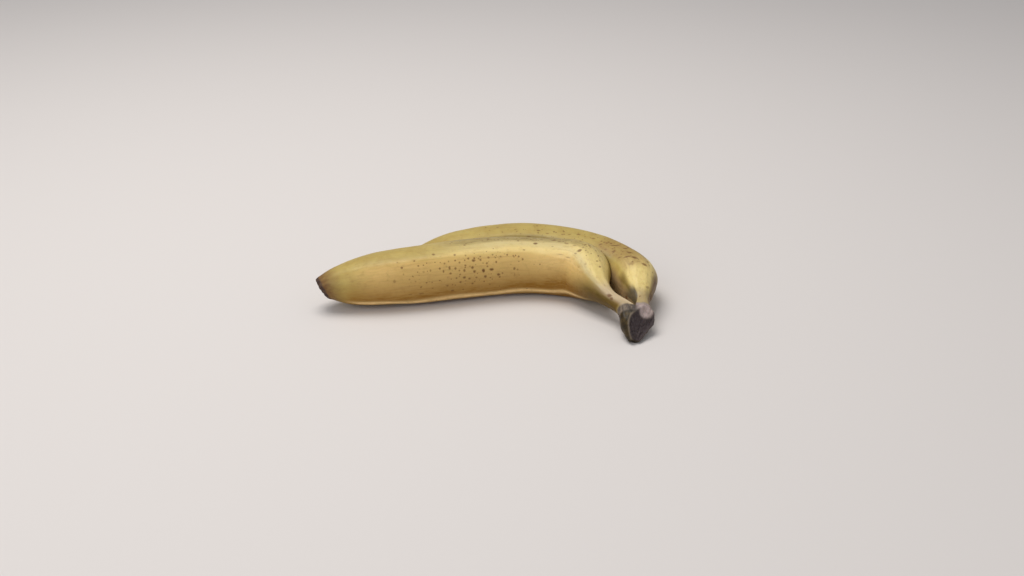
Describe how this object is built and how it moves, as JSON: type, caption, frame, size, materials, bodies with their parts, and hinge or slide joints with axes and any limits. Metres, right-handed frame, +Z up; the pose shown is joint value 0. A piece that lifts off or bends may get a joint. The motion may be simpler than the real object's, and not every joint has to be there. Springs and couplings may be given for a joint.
{
  "type": "pair of bananas",
  "caption": "Pair of ripe bananas joined at the crown, lying nested on their sides, with ridged speckled peel, blunt dark blossom ends and a dark slanting cut.",
  "frame": {"origin": "middle of the bounding box, on the surface that the bananas lie on", "axes": "+X along the fingers towards the crown, +Y away from the concave side, +Z up"},
  "size_m": [0.2072, 0.1206, 0.0338],
  "materials": {
    "peel": "satin ripe yellow peel, brown speckles, greenish necks, dark dry crown and blossom ends"
  },
  "bodies": {
    "root": {"banana_pair": "peel"}
  },
  "joints": []
}
